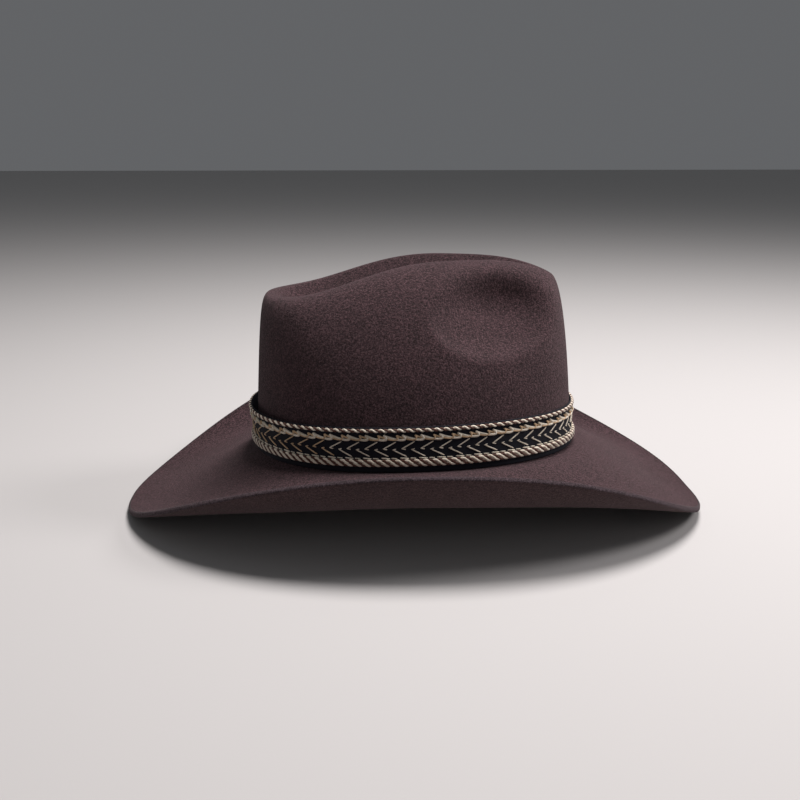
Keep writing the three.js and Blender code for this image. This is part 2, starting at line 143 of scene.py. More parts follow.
def brim_edge(th):
    c, s = np.cos(th), np.sin(th)
    power = np.where(c > 0, by_side(s, CURL_POWER_FRONT), by_side(s, CURL_POWER_REAR))
    z = BRIM_TIP_TOP + by_side(s, BRIM_CURL) * np.abs(s) ** power * (1 - by_side(s, CURL_REAR_BIAS) * c)
    z = z + (by_side(s, CURL_SHOULDER) + by_side(s, CURL_SKEW) * c) * np.sin(2 * th) ** 2
    x = BRIM_HALF_LENGTH * spow(c, 2 / BRIM_OVAL_POWER)
    y = BRIM_HALF_WIDTH * spow(s, 2 / BRIM_OVAL_POWER) * (1 + BRIM_WIDER_FRONT * c)
    return stack(x, y, z)


def brim_run(th):
    a, b = break_point(th), brim_edge(th)
    return np.hypot(b[..., 0] - a[..., 0], b[..., 1] - a[..., 1])


def brim_point(th, t):
    """The brim's top face: t is 0 at the break and 1 at the edge."""
    a, b = break_point(th), brim_edge(th)
    c, s = np.cos(th), np.sin(th)
    run = brim_run(th)
    m0 = (SLOPE_SIDE_BREAK * s * s + np.where(c > 0, SLOPE_FRONT_BREAK, SLOPE_REAR_BREAK) * c * c) * run
    m1 = (SLOPE_SIDE_EDGE * s * s * np.abs(s)
          + np.where(c > 0, SLOPE_FRONT_EDGE, SLOPE_REAR_EDGE) * c * c) * run
    z = ((2 * t**3 - 3 * t**2 + 1) * a[..., 2] + (t**3 - 2 * t**2 + t) * m0
         + (3 * t**2 - 2 * t**3) * b[..., 2] + (t**3 - t**2) * m1)
    return stack(mix(a[..., 0], b[..., 0], t), mix(a[..., 1], b[..., 1], t), z)


def crest_height(x):
    ahead = np.maximum(0, (x - CREST_TOP_X) / (CREST_FRONT - CREST_TOP_X))
    front = CREST_TOP - CREST_FALL_FRONT * ahead**CREST_FRONT_POWER
    back = np.clip((CREST_TOP_X - x) / (CREST_TOP_X - CREST_REAR), 0, 1) ** 1.15
    return np.where(x > CREST_TOP_X, front, CREST_TOP - CREST_FALL_REAR * (1 - np.cos(np.pi * back)) / 2)


def crest_round(along):
    return np.maximum(0, 1 - np.abs(along) ** CREST_POWER) ** (1 / CREST_POWER)


def crest_point(th):
    """The teardrop that the crown's top edge draws."""
    along = spow(np.cos(th), 2 / CROWN_OVAL_POWER)
    half = (CREST_HALF_WIDTH - CREST_TAPER * along) * crest_round(along)
    x = CREST_MIDDLE + CREST_HALF_LENGTH * along
    return stack(x, np.where(np.sin(th) < 0, -half, half), crest_height(x))


def dent_depth(x, z):
    """How far a dent presses the wall in: it starts sharply below and fades softly above."""
    across = (x - DENT_X) / DENT_HALF_X
    up = (z - DENT_Z) / np.where(z < DENT_Z, DENT_BELOW, DENT_ABOVE)
    reach = 1 - across**2 - (up - DENT_RISE * (1 - up * up)) ** 2
    softness = 0.8 + np.clip(0.5 + up, 0, 1)
    return DENT_DEPTH * np.where(np.abs(up) < 1, np.maximum(reach, 0), 0) ** softness


def wall_point(th, w):
    """The crown's wall: w is 0 at the break and 1 at the crest. Each side has a pinched dent."""
    low, high = break_point(th), crest_point(th)
    c = np.cos(th)
    ends = np.abs(c) ** 5
    corner = mix(CORNER_SIDE, np.where(c > 0, CORNER_FRONT, CORNER_REAR), ends)
    lean = mix(LEAN_SIDE, np.where(c > 0, LEAN_FRONT, LEAN_REAR), ends)
    turned = 1 - np.maximum(0, 1 - w**corner) ** (1 / corner)
    inward = lean * w**LEAN_POWER + (1 - lean) * turned
    x = mix(low[..., 0], high[..., 0], inward)
    y = mix(low[..., 1], high[..., 1], inward)
    z = mix(low[..., 2], high[..., 2], w)
    return stack(x, np.sign(y) * np.maximum(0, np.abs(y) - dent_depth(x, z)), z)


def bowl(q):
    """The fall across the crease: a small round lip, then steep, then flat at the bottom."""
    return 1 - np.maximum(0, 1 - q * q * (1 + CREASE_LIP) / (q + CREASE_LIP)) ** CREASE_STEEPNESS


def crease_point(th, q):
    """The crease inside the crest: q is 0 at the crest and 1 on its bottom line."""
    crest = crest_point(th)
    along = spow(np.cos(th), 2 / CROWN_OVAL_POWER)
    x = CREST_MIDDLE + 0.72 * CREST_HALF_LENGTH * along
    share = (x - CREST_MIDDLE) / CREST_HALF_LENGTH
    depth = CREASE_DEPTH * (CREST_HALF_WIDTH - CREST_TAPER * share) * crest_round(share)
    bottom = crest_height(x) - depth
    return stack(mix(crest[..., 0], x, q), crest[..., 1] * (1 - q), mix(crest[..., 2], bottom, bowl(q)))


def off_wall(th, height, out):
    """A point level with the wall at a height above the break, a distance out from it."""
    low = break_point(th)
    w = np.maximum(0, height / (crest_point(th)[..., 2] - low[..., 2]))
    p = wall_point(th, w)
    p[..., 2] = low[..., 2] + height
    return p + break_out(th) * np.asarray(out)[..., None]


def off_band(th, height, out):
    """A point on the hatband, which leans with the wall and stands off at the rear."""
    rear = np.maximum(0, -np.cos(th)) ** 3
    low = off_wall(th, BAND_LIFT, BAND_GAP + out)
    high = off_wall(th, BAND_LIFT + BAND_HEIGHT, BAND_GAP + BAND_REAR_GAP * rear + out)
    return mix(low, high, np.asarray(height / BAND_HEIGHT)[..., None])


# Steps round the band that are even along its length.
_TABLE = np.linspace(0, TAU, 4001)
_LINE = off_band(_TABLE, np.full(4001, 13.0), np.full(4001, 1.0))
_LENGTHS = np.concatenate([[0], np.cumsum(np.linalg.norm(np.diff(_LINE, axis=0), axis=1))])
BAND_LENGTH = float(_LENGTHS[-1])
PITCH = BAND_LENGTH / REPEATS


def band_at(s, height, out):
    """s is in repeats of the pattern, counted round the band."""
    s, height, out = np.broadcast_arrays(s, height, out)
    th = np.interp((s % REPEATS) * PITCH, _LENGTHS, _TABLE)
    return off_band(th, height, out)


def normals_of(points):
    """Unit normals of a grid that closes round its first axis."""
    around = np.roll(points, -1, 0) - np.roll(points, 1, 0)
    along = np.gradient(points, axis=1)
    n = np.cross(around, along)
    return n / (np.linalg.norm(n, axis=-1, keepdims=True) + 1e-12)


# ---- materials ----
def new_material(name):
    mat = bpy.data.materials.new(name)
    mat.use_nodes = True
    nodes = mat.node_tree.nodes
    return mat, nodes, mat.node_tree.links, nodes["Principled BSDF"]


def noise(nodes, links, scale, detail=4.0, rough=0.6, vector=None, distortion=0.0):
    n = nodes.new("ShaderNodeTexNoise")
    n.inputs["Scale"].default_value = scale
    n.inputs["Detail"].default_value = detail
    n.inputs["Roughness"].default_value = rough
    n.inputs["Distortion"].default_value = distortion
    if vector is None:
        vector = nodes.new("ShaderNodeTexCoord").outputs["Object"]
    links.new(vector, n.inputs["Vector"])
    return n.outputs["Fac"]


def ramp(nodes, links, fac, stops):
    r = nodes.new("ShaderNodeValToRGB")
    elements = r.color_ramp.elements
    while len(elements) < len(stops):
        elements.new(0.5)
    for element, (at, colour) in zip(elements, stops):
        element.position = at
        element.color = (*colour, 1)
    links.new(fac, r.inputs["Fac"])
    return r.outputs["Color"]


def blend_colours(nodes, links, fac, a, b, mode="MIX"):
    m = nodes.new("ShaderNodeMix")
    m.data_type = "RGBA"
    m.blend_type = mode
    for value, socket in ((fac, m.inputs[0]), (a, m.inputs[6]), (b, m.inputs[7])):
        if isinstance(value, (int, float)):
            socket.default_value = value
        elif isinstance(value, tuple):
            socket.default_value = (*value, 1)
        else:
            links.new(value, socket)
    return m.outputs[2]


def bump(nodes, links, bsdf, height, strength, distance, under=None):
    b = nodes.new("ShaderNodeBump")
    b.inputs["Strength"].default_value = strength
    b.inputs["Distance"].default_value = distance
    links.new(height, b.inputs["Height"])
    if under is not None:
        links.new(under, b.inputs["Normal"])
    links.new(b.outputs["Normal"], bsdf.inputs["Normal"])
    return b.outputs["Normal"]


def felt_material(name, dark, light, sheen, grain=1.0):
    """Wool felt: a mottled, matted pile with a soft sheen."""
    mat, nodes, links, bsdf = new_material(name)
    fine = noise(nodes, links, 1150, 4, 0.75)
    pile = noise(nodes, links, 760, 5, 0.72, distortion=0.5)
    cloud = noise(nodes, links, 38, 3, 0.55)
    mid = tuple((a + b) / 2 for a, b in zip(dark, light))
    base = ramp(nodes, links, pile, [(0.4, dark), (0.5, mid), (0.6, light)])
    speck = ramp(nodes, links, fine, [(0.42, (0.35, 0.33, 0.33)), (0.58, (1.6, 1.56, 1.56))])
    worn = ramp(nodes, links, cloud, [(0.3, (0.88, 0.88, 0.88)), (0.7, (1.1, 1.09, 1.1))])
    colour = blend_colours(nodes, links, 0.9 * grain, base, speck, "MULTIPLY")
    colour = blend_colours(nodes, links, 1.0, colour, worn, "MULTIPLY")
    links.new(colour, bsdf.inputs["Base Color"])
    bsdf.inputs["Roughness"].default_value = 0.93
    bsdf.inputs["Specular IOR Level"].default_value = 0.18
    bsdf.inputs["Sheen Weight"].default_value = sheen
    bsdf.inputs["Sheen Roughness"].default_value = 0.55
    bsdf.inputs["Sheen Tint"].default_value = (0.95, 0.74, 0.76, 1)
    under = bump(nodes, links, bsdf, pile, 1.0 * grain, 0.0014)
    bump(nodes, links, bsdf, fine, 0.5 * grain, 0.0006, under)
    return mat


def yarn_material(name, dark, light, scale=1400):
    """Twisted yarn: fibres, small shade changes, a soft sheen."""
    mat, nodes, links, bsdf = new_material(name)
    fibre = noise(nodes, links, scale, 4, 0.7)
    patch = noise(nodes, links, 120, 2, 0.5)
    colour = ramp(nodes, links, fibre, [(0.3, dark), (0.68, light)])
    shade = ramp(nodes, links, patch, [(0.3, (0.8, 0.77, 0.72)), (0.7, (1.08, 1.06, 1.04))])
    links.new(blend_colours(nodes, links, 1.0, colour, shade, "MULTIPLY"), bsdf.inputs["Base Color"])
    bsdf.inputs["Roughness"].default_value = 0.62
    bsdf.inputs["Sheen Weight"].default_value = 0.25
    bsdf.inputs["Specular IOR Level"].default_value = 0.35
    bump(nodes, links, bsdf, fibre, 0.5, 0.0003)
    return mat


def webbing_material(name, colour, light, warp=1500.0, weft=900.0):
    """Woven tape: u runs along it and v across, both in metres."""
    mat, nodes, links, bsdf = new_material(name)
    uv = nodes.new("ShaderNodeUVMap")
    uv.uv_map = "lay"
    split = nodes.new("ShaderNodeSeparateXYZ")
    links.new(uv.outputs["UV"], split.inputs[0])

    def wave(socket, scale):
        m = nodes.new("ShaderNodeMath")
        m.operation = "MULTIPLY"
        m.inputs[1].default_value = scale * TAU
        links.new(socket, m.inputs[0])
        w = nodes.new("ShaderNodeMath")
        w.operation = "SINE"
        links.new(m.outputs[0], w.inputs[0])
        return w.outputs[0]

    product = nodes.new("ShaderNodeMath")
    product.operation = "MULTIPLY_ADD"
    product.inputs[1].default_value = 0.5
    product.inputs[2].default_value = 0.5
    weave = nodes.new("ShaderNodeMath")
    weave.operation = "MULTIPLY"
    links.new(wave(split.outputs[0], warp), weave.inputs[0])
    links.new(wave(split.outputs[1], weft), weave.inputs[1])
    links.new(weave.outputs[0], product.inputs[0])
    base = ramp(nodes, links, product.outputs[0], [(0.2, colour), (0.9, light)])
    fuzz = noise(nodes, links, 700, 3, 0.6)
    shade = ramp(nodes, links, fuzz, [(0.3, (0.7, 0.7, 0.75)), (0.7, (1.2, 1.2, 1.25))])
    links.new(blend_colours(nodes, links, 0.8, base, shade, "MULTIPLY"), bsdf.inputs["Base Color"])
    bsdf.inputs["Roughness"].default_value = 0.8
    bsdf.inputs["Specular IOR Level"].default_value = 0.25
    bump(nodes, links, bsdf, product.outputs[0], 0.6, 0.0003)
    return mat


def leather_material(name, dark, light, rough):
    mat, nodes, links, bsdf = new_material(name)
    tex = nodes.new("ShaderNodeTexVoronoi")
    tex.inputs["Scale"].default_value = 900
    links.new(nodes.new("ShaderNodeTexCoord").outputs["Object"], tex.inputs["Vector"])
    cloud = noise(nodes, links, 60, 4, 0.6)
    colour = ramp(nodes, links, cloud, [(0.3, dark), (0.7, light)])
    pores = ramp(nodes, links, tex.outputs["Distance"], [(0.0, (1.1, 1.1, 1.1)), (0.7, (0.72, 0.7, 0.68))])
    links.new(blend_colours(nodes, links, 0.7, colour, pores, "MULTIPLY"), bsdf.inputs["Base Color"])
    bsdf.inputs["Roughness"].default_value = rough
    bsdf.inputs["Specular IOR Level"].default_value = 0.4
    bump(nodes, links, bsdf, tex.outputs["Distance"], 0.35, 0.0004)
    return mat


def satin_material(name, dark, light):
    mat, nodes, links, bsdf = new_material(name)
    thread = noise(nodes, links, 1600, 3, 0.6)
    folds_and_painted_shade = noise(nodes, links, 30, 2, 0.4)
    # The colour follows the same fold noise as the bump: painted shade in the hollows of the folds and
    # painted highlight on their crests.
    colour = ramp(nodes, links, folds_and_painted_shade, [(0.3, dark), (0.7, light)])
    fine = ramp(nodes, links, thread, [(0.3, (0.88, 0.88, 0.88)), (0.7, (1.08, 1.08, 1.08))])
    links.new(blend_colours(nodes, links, 1.0, colour, fine, "MULTIPLY"), bsdf.inputs["Base Color"])
    bsdf.inputs["Roughness"].default_value = 0.34
    bsdf.inputs["Anisotropic"].default_value = 0.5
    bsdf.inputs["Sheen Weight"].default_value = 0.2
    bump(nodes, links, bsdf, folds_and_painted_shade, 0.25, 0.004)
    return mat


FELT = felt_material("felt_pile", (0.013, 0.0062, 0.007), (0.084, 0.046, 0.052), 0.13)
FELT_UNDER = felt_material("felt_underside", (0.024, 0.0135, 0.014), (0.05, 0.029, 0.03), 0.10, 0.6)
FELT_EDGE = felt_material("felt_cut_edge", (0.022, 0.014, 0.017), (0.062, 0.044, 0.052), 0.12, 1.0)
DARK_THREAD = yarn_material("dark_thread", (0.008, 0.005, 0.006), (0.024, 0.015, 0.016))
CREAM = yarn_material("cream_yarn", (0.7, 0.6, 0.45), (1.0, 0.96, 0.86))
TAN = yarn_material("tan_yarn", (0.46, 0.29, 0.15), (0.88, 0.66, 0.43))
BROWN = yarn_material("brown_yarn", (0.045, 0.013, 0.007), (0.14, 0.047, 0.024))
WEB = webbing_material("black_webbing", (0.0035, 0.0035, 0.006), (0.016, 0.017, 0.026))
LEATHER = leather_material("sweatband_leather", (0.07, 0.03, 0.014), (0.16, 0.075, 0.036), 0.42)
REED = leather_material("rolled_leather", (0.05, 0.022, 0.01), (0.1, 0.045, 0.022), 0.4)
LABEL = leather_material("blank_label", (0.02, 0.01, 0.007), (0.045, 0.024, 0.015), 0.5)
SATIN = satin_material("lining_satin", (0.062, 0.04, 0.034), (0.13, 0.088, 0.074))
PIPING = satin_material("piping_satin", (0.03, 0.018, 0.016), (0.06, 0.038, 0.032))
RIBBON = webbing_material("bow_ribbon", (0.012, 0.007, 0.006), (0.05, 0.032, 0.028), 2200.0, 1400.0)


# ---- mesh building ----
def add_object(name, verts, faces, materials, face_slots=None, uvs=None, smooth=True):
    mesh = bpy.data.meshes.new(name)
    mesh.from_pydata((np.asarray(verts) * MM).tolist(), [], [tuple(int(i) for i in f) for f in faces])
    for mat in materials:
        mesh.materials.append(mat)
    if face_slots is not None:
        mesh.polygons.foreach_set("material_index", np.asarray(face_slots, dtype=np.int32))
    mesh.polygons.foreach_set("use_smooth", [smooth] * len(mesh.polygons))
    if uvs is not None:
        layer = mesh.uv_layers.new(name="lay")
        index = np.empty(len(mesh.loops), dtype=np.int32)
        mesh.loops.foreach_get("vertex_index", index)
        layer.data.foreach_set("uv", (np.asarray(uvs)[index] * MM).ravel())
    mesh.update()
    obj = bpy.data.objects.new(name, mesh)
    bpy.context.scene.collection.objects.link(obj)
    return obj


def grid_faces(n, m, close_n=True, close_m=False, base=0, flip=False):
    i = np.arange(n if close_n else n - 1)[:, None]
    j = np.arange(m if close_m else m - 1)[None, :]
    i2, j2 = (i + 1) % n, (j + 1) % m
    quads = np.stack(np.broadcast_arrays(i * m + j, i2 * m + j, i2 * m + j2, i * m + j2), -1) + base
    quads = quads.reshape(-1, 4)
    return quads[:, ::-1] if flip else quads


def ring_object(name, section, material, steps=240):
    """A closed section carried round the oval. section(theta) gives (steps, points, 3)."""
    th = np.linspace(0, TAU, steps, endpoint=False)
    points = section(th)
    n, m = points.shape[:2]
    along = np.concatenate([[0], np.cumsum(np.linalg.norm(np.diff(points[:, 0], axis=0), axis=1))])
    across = np.concatenate([[0], np.cumsum(np.linalg.norm(np.diff(points[0], axis=0), axis=1))])
    uvs = np.stack(np.broadcast_arrays(along[:, None], across[None, :]), -1).reshape(-1, 2)
    faces = grid_faces(n, m, True, True, flip=True)
    return add_object(name, points.reshape(-1, 3), faces, [material], uvs=uvs)


class Tubes:
    """Many round threads gathered in one mesh."""

    def __init__(self):
        self.verts = []
        self.faces = []
        self.slots = []
        self.count = 0

    def add(self, path, radius, slot=0, sides=8, closed=False, caps=True):
        path = np.asarray(path, dtype=float)
        n = len(path)
        if closed:
            tangent = np.roll(path, -1, 0) - np.roll(path, 1, 0)
        else:
            tangent = np.gradient(path, axis=0)
        tangent /= np.linalg.norm(tangent, axis=1, keepdims=True) + 1e-12
        helper = np.where(np.abs(tangent[:, 2:3]) < 0.92, np.array([[0, 0, 1.0]]), np.array([[1.0, 0, 0]]))
        a = np.cross(tangent, helper)
        a /= np.linalg.norm(a, axis=1, keepdims=True) + 1e-12
        b = np.cross(tangent, a)
        radius = np.broadcast_to(np.asarray(radius, dtype=float), (n,))
        turn = np.linspace(0, TAU, sides, endpoint=False)
        loops = (path[:, None] + radius[:, None, None] * (a[:, None] * np.cos(turn)[None, :, None]
                                                       + b[:, None] * np.sin(turn)[None, :, None]))
        base = self.count
        self.verts.append(loops.reshape(-1, 3))
        faces = grid_faces(n, sides, closed, True, base).tolist()
        if not closed and caps:
            faces.append([base + k for k in range(sides)])
            faces.append([base + (n - 1) * sides + k for k in reversed(range(sides))])
        self.faces.extend(faces)
        self.slots.extend([slot] * len(faces))
        self.count += n * sides

    def build(self, name, materials):
        return add_object(name, np.concatenate(self.verts), self.faces, materials, self.slots)


def taper(n, ends=0.55):
    """Thread ends that dive into the cloth."""
    t = np.linspace(-1, 1, n)
    return 1 - (1 - ends) * np.abs(t) ** 6


# ---- felt body ----
def felt_outer(columns):
    th = np.linspace(0, TAU, columns, endpoint=False)[:, None]
    run = brim_run(th)
    t_break = BREAK_RADIUS / run
    rise = crest_point(th)[..., 2] - break_point(th)[..., 2]
    w_break = BREAK_RADIUS / rise
    brim_t = np.linspace(1, 0, 44)[None, :-1]
    parts = [brim_point(th, mix(t_break, 1.0, brim_t))]
    start, corner, end = brim_point(th, t_break), break_point(th), wall_point(th, w_break)
    for t in np.linspace(0, 1, 7):
        parts.append(mix(mix(start, corner, t), mix(corner, end, t), t))
    wall_w = np.sin(np.linspace(0, 1, 64) * np.pi / 2)[None, 1:]
    parts.append(wall_point(th, mix(w_break, 1.0, wall_w)))
    parts.append(crease_point(th, np.linspace(0, 1, 30)[None, 1:-1]))
    last = crease_point(th, np.array([[1.0]]))
    last[..., 1] = 0
    parts.append(last)
    return np.concatenate(parts, axis=1)


def felt_body():
    columns = 400
    outer = felt_outer(columns)
    rows = outer.shape[1]
    normal = normals_of(outer)
    normal[:, -1] = (0, 0, 1)
    flip = -1.0 if normal[0, 5, 2] < 0 else 1.0
    normal *= flip
    normal[:, -1] = (0, 0, 1)
    depth = np.full(rows, BRIM_THICKNESS)
    depth[44:] = CROWN_THICKNESS
    ease = np.linspace(0, 1, 8)
    depth[40:48] = mix(BRIM_THICKNESS, CROWN_THICKNESS, ease)
    inner = outer - normal * depth[None, :, None]
    inner[..., 2] = np.maximum(inner[..., 2], 0.0)
    # The cut edge is square with softly rounded arrises.
    outward = outer[:, 0] - outer[:, 1]
    outward /= np.linalg.norm(outward, axis=1, keepdims=True)
    top, low = outer[:, 0].copy(), inner[:, 0].copy()
    soft = 0.55
    outer[:, 0] -= outward * soft
    inner[:, 0] -= outward * soft
    edge = []
    for t in (0.06, 0.2, 0.5, 0.8, 0.94):
        tuck = soft * (0.5 if t in (0.06, 0.94) else 0.0)
        edge.append(mix(top, low, t) - outward * tuck)
    edge = np.stack(edge, 1)
    edge[..., 2] = np.maximum(edge[..., 2], 0.0)
    inner[..., 2] = np.maximum(inner[..., 2], 0.0)
    loop = np.concatenate([outer[:, ::-1], edge, inner], axis=1)
    n, m = loop.shape[:2]
    faces = grid_faces(n, m, True, False)
    across = np.tile(np.arange(m - 1), n)
    slots = np.where(across < rows - 1, 0, np.where(across < rows + 5, 1, 2))
    obj = add_object("felt_shell", loop.reshape(-1, 3), faces, [FELT, FELT_EDGE, FELT_UNDER], slots)
    weld = obj.modifiers.new("weld", "WELD")
    weld.merge_threshold = 1e-6
    return obj


def finish_piece(obj, body, slot, *nodes):
    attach(obj, body)
    if nodes:
        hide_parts(*nodes)


finish_piece(felt_body(), "hat", "felt", "felt_body")


def surface_lift(th, t, lift):
    """A point over the brim's top face."""
    step = 0.004
    p = brim_point(th, t)
    around = brim_point(th + step, t) - brim_point(th - step, t)
    outward = brim_point(th, t + step) - brim_point(th, t - step)
    n = np.cross(outward, around)
    n /= np.linalg.norm(n, axis=-1, keepdims=True)
    return p + n * np.asarray(lift)[..., None]


def brim_stitches():
    tubes = Tubes()
    th = np.linspace(0, TAU, 3001)
    line = brim_edge(th)
    lengths = np.concatenate([[0], np.cumsum(np.linalg.norm(np.diff(line, axis=0), axis=1))])
    count = int(lengths[-1] / 3.4)
    for k in range(count):
        middle = (k + 0.5) / count * lengths[-1]
        half = 1.05 + RNG.uniform(-0.1, 0.1)
        at = np.interp(middle + np.linspace(-half, half, 5), lengths, th)
        lift = np.array([-0.1, 0.16, 0.24, 0.16, -0.1])
        path = surface_lift(at, np.full(5, 0.988 + RNG.uniform(-0.001, 0.001)), lift)
        tubes.add(path, 0.28, sides=6)
    return tubes.build("brim_stitches", [DARK_THREAD])


finish_piece(brim_stitches(), "hat", "dark_thread", "brim_edge_stitching")


# ---- hatband ----
def webbing():
    bottom, top = 0.0, BAND_HEIGHT

    def section(th):
        th = th[:, None]
        heights = [bottom + 0.3, bottom, bottom + 0.1, bottom + 0.5]
        outs = [0.0, WEBBING * 0.4, WEBBING * 0.8, WEBBING]
        for h in np.linspace(1.2, top - 1.2, 12):
            heights.append(h)
            outs.append(WEBBING)
        heights += [top - 0.5, top - 0.1, top, top - 0.3]
        outs += [WEBBING, WEBBING * 0.8, WEBBING * 0.4, 0.0]
        h, o = np.array(heights)[None, :], np.array(outs)[None, :]
        h, o, th = np.broadcast_arrays(h, o, th)
        return off_band(th, h, o)

    return ring_object("band_webbing", section, WEB, 360)


finish_piece(webbing(), "hatband", "webbing", "hatband_webbing")


def twisted(name, middle, half_height, half_out, plies, turns_per_repeat, per_turn=20):
    """A rope of plies, each a (material slot, radius) pair; they slant down towards the front."""
    tubes = Tubes()
    steps = int(REPEATS * turns_per_repeat * per_turn)
    s = np.linspace(0, REPEATS, steps, endpoint=False)
    for k, (slot, radius) in enumerate(plies):
        turn = -TAU * (s * turns_per_repeat + k / len(plies))
        height = middle + (half_height - radius) * np.sin(turn)
        out = WEBBING + half_out + (half_out - radius * 0.8) * np.cos(turn)
        tubes.add(band_at(s, height, out), radius, slot, 8, closed=True)
    return tubes.build(name, [CREAM, BROWN, TAN])


finish_piece(twisted("upper_cord", 25.2, 1.25, 0.85, [(0, 0.64), (1, 0.62)], 2.0, 12),
             "hatband", "cream_yarn", "hatband_upper_cord")
finish_piece(twisted("lower_rope", 5.9, 2.3, 0.95, [(0, 0.86), (1, 0.8), (0, 0.86), (1, 0.8)], 1.0, 20),
             "hatband", "cream_yarn", "hatband_lower_rope")


def shade_of(k, total=REPEATS):
    """Threads turn from cream to tan towards the rear of the band."""
    return 2 if math.cos(TAU * k / total) < -0.55 else 0


def chain():
    """Two yarns looped along the band, with slanted black gaps between the loops."""
    tubes = Tubes()
    per = 26
    s = np.linspace(0, REPEATS, REPEATS * per, endpoint=False)
    turn = TAU * s
    # each row: phase and sway in repeats, swing and thickness in mm, colour slot
    rows = ((0.0, 0.27, 1.3, 0.74, 0), (0.36, 0.22, 1.2, 0.56, 2))
    for phase, sway, swing, radius, slot in rows:
        height = 20.9 + swing * np.sin(turn + TAU * phase)
        along = s + sway * np.cos(turn + TAU * phase + 0.9)
        out = WEBBING + 0.55 + 0.35 * np.cos(turn + TAU * phase + 0.4)
        tubes.add(band_at(along, height, out), radius, slot, 8, closed=True)
    return tubes.build("chain_braid", [CREAM, BROWN, TAN])


finish_piece(chain(), "hatband", "cream_yarn", "hatband_chain_braid")


def stroke(tubes, points, radius, slot=0):
    """A laid thread through (along, height) points in repeats and millimetres."""
    points = np.asarray(points, dtype=float)
    seg = np.concatenate([[0], np.cumsum(np.hypot(np.diff(points[:, 0]) * PITCH, np.diff(points[:, 1])))])
    u = np.linspace(0, seg[-1], 10)
    s = np.interp(u, seg, points[:, 0])
    h = np.interp(u, seg, points[:, 1])
    arch = 0.32 * (1 - (2 * u / seg[-1] - 1) ** 6) - 0.12
    tubes.add(band_at(s, h, WEBBING + arch), radius * taper(10, 0.6), slot, 7)


def chevrons(name, upper):
    tubes = Tubes()
    for k in range(REPEATS):
        j = RNG.uniform(-0.012, 0.012)
        lift = RNG.uniform(-0.15, 0.15)
        slot = shade_of(k)
        if upper:
            stroke(tubes, [(k + j, 14.3), (k + 0.68 + j, 18.5 + lift)], 0.4, slot)
            stroke(tubes, [(k + j - 0.02, 14.35), (k + 0.2 + j, 13.8)], 0.36, slot)
        else:
            stroke(tubes, [(k + 0.52 + j, 13.7), (k + 1.26 + j, 9.6 + lift)], 0.4, slot)
            stroke(tubes, [(k + 0.5 + j, 13.6), (k + 0.68 + j, 14.1)], 0.34, slot)
    return tubes.build(name, [CREAM, BROWN, TAN])


finish_piece(chevrons("chevron_upper", True), "hatband", "cream_yarn", "hatband_chevron_upper")
finish_piece(chevrons("chevron_lower", False), "hatband", "cream_yarn", "hatband_chevron_lower")


def dashes():
    tubes = Tubes()
    for k in range(REPEATS):
        j = RNG.uniform(-0.015, 0.015)
        stroke(tubes, [(k + 0.9 + j, 8.75), (k + 1.36 + j, 8.35)], 0.42)
        stroke(tubes, [(k + 1.44 + j, 8.6), (k + 1.74 + j, 8.4)], 0.36)
    return tubes.build("dash_row", [CREAM, BROWN, TAN])


finish_piece(dashes(), "hatband", "cream_yarn", "hatband_dash_row")


# ---- sweatband ----
def inside_section(heights, outer, thickness):
    def section(th):
        th = th[:, None]
        h = np.array(list(heights) + list(heights)[::-1])[None, :]
        o = np.array([outer] * len(heights) + [outer - thickness] * len(heights))[None, :]
        th, h, o = np.broadcast_arrays(th, h, o)
        return off_wall(th, h, o)
    return section


SWEAT_HEIGHTS = [0.6, 1.0, 3, 8, 14, 20, 26, 32, 38, 41.2, SWEATBAND_HEIGHT]
finish_piece(ring_object("sweatband_leather_band", inside_section(SWEAT_HEIGHTS, INSIDE, SWEATBAND_THICKNESS),
                         LEATHER), "hat", "leather", "sweatband")


def reed_section(th):
    th = th[:, None]
    turn = np.linspace(0, TAU, 14, endpoint=False)[None, :]
    middle = break_point(th)
    out = break_out(th)
    p = middle + out * (INSIDE - 1.4 - 0.6 + 1.4 * np.cos(turn))[..., None]
    p[..., 2] += 0.6 - 0.35 - 1.4 + 1.4 * np.sin(turn)
    return p


finish_piece(ring_object("rolled_reed", reed_section, REED), "hat", "leather", "sweatband_reed")

FACE = INSIDE - SWEATBAND_THICKNESS


def sweat_stitches():
    tubes = Tubes()
    count = 190
    for k in range(count):
        a = TAU * (k + 0.5) / count
        th = a + np.linspace(-0.0105, 0.0105, 5)
        out = FACE - np.array([-0.1, 0.12, 0.2, 0.12, -0.1])
        tubes.add(off_wall(th, np.full(5, 3.6), out), 0.26, sides=6)
    return tubes.build("sweat_stitches", [TAN])


finish_piece(sweat_stitches(), "hat", "cream_yarn", "sweatband_stitching")


def patch(name, middle, half, low, high, material, thickness=0.6):
    """A thin tab laid on the sweatband's face, with softened corners."""
    n, m = 18, 22
    u = np.linspace(-1, 1, n)[:, None]
    v = np.linspace(-1, 1, m)[None, :]
    th = middle + half * u * (1 - 0.05 * np.abs(v) ** 12)
    h = (low + high) / 2 + (high - low) / 2 * v * (1 - 0.05 * np.abs(u) ** 12)
    dome = (1 - np.abs(u) ** 10) * (1 - np.abs(v) ** 10)
    th, h, dome = np.broadcast_arrays(th, h, dome)
    face = off_wall(th, h, FACE - 0.25 - thickness * dome)
    back = off_wall(th, h, np.full(th.shape, FACE - 0.1))
    verts = np.concatenate([face.reshape(-1, 3), back.reshape(-1, 3)])
    front, rear = grid_faces(n, m, False), grid_faces(n, m, False, base=n * m, flip=True)
    faces = np.concatenate([front, rear]).tolist()
    rim = ([i * m for i in range(n)] + [(n - 1) * m + j for j in range(1, m)]
           + [i * m + m - 1 for i in range(n - 2, -1, -1)] + list(range(m - 2, 0, -1)))
    for a, b in zip(rim, rim[1:] + rim[:1]):
        faces.append([a, a + n * m, b + n * m, b])
    uvs = np.stack([(th - middle).ravel() * 100, h.ravel()], -1)
    return add_object(name, verts, faces, [material], uvs=np.concatenate([uvs, uvs]))


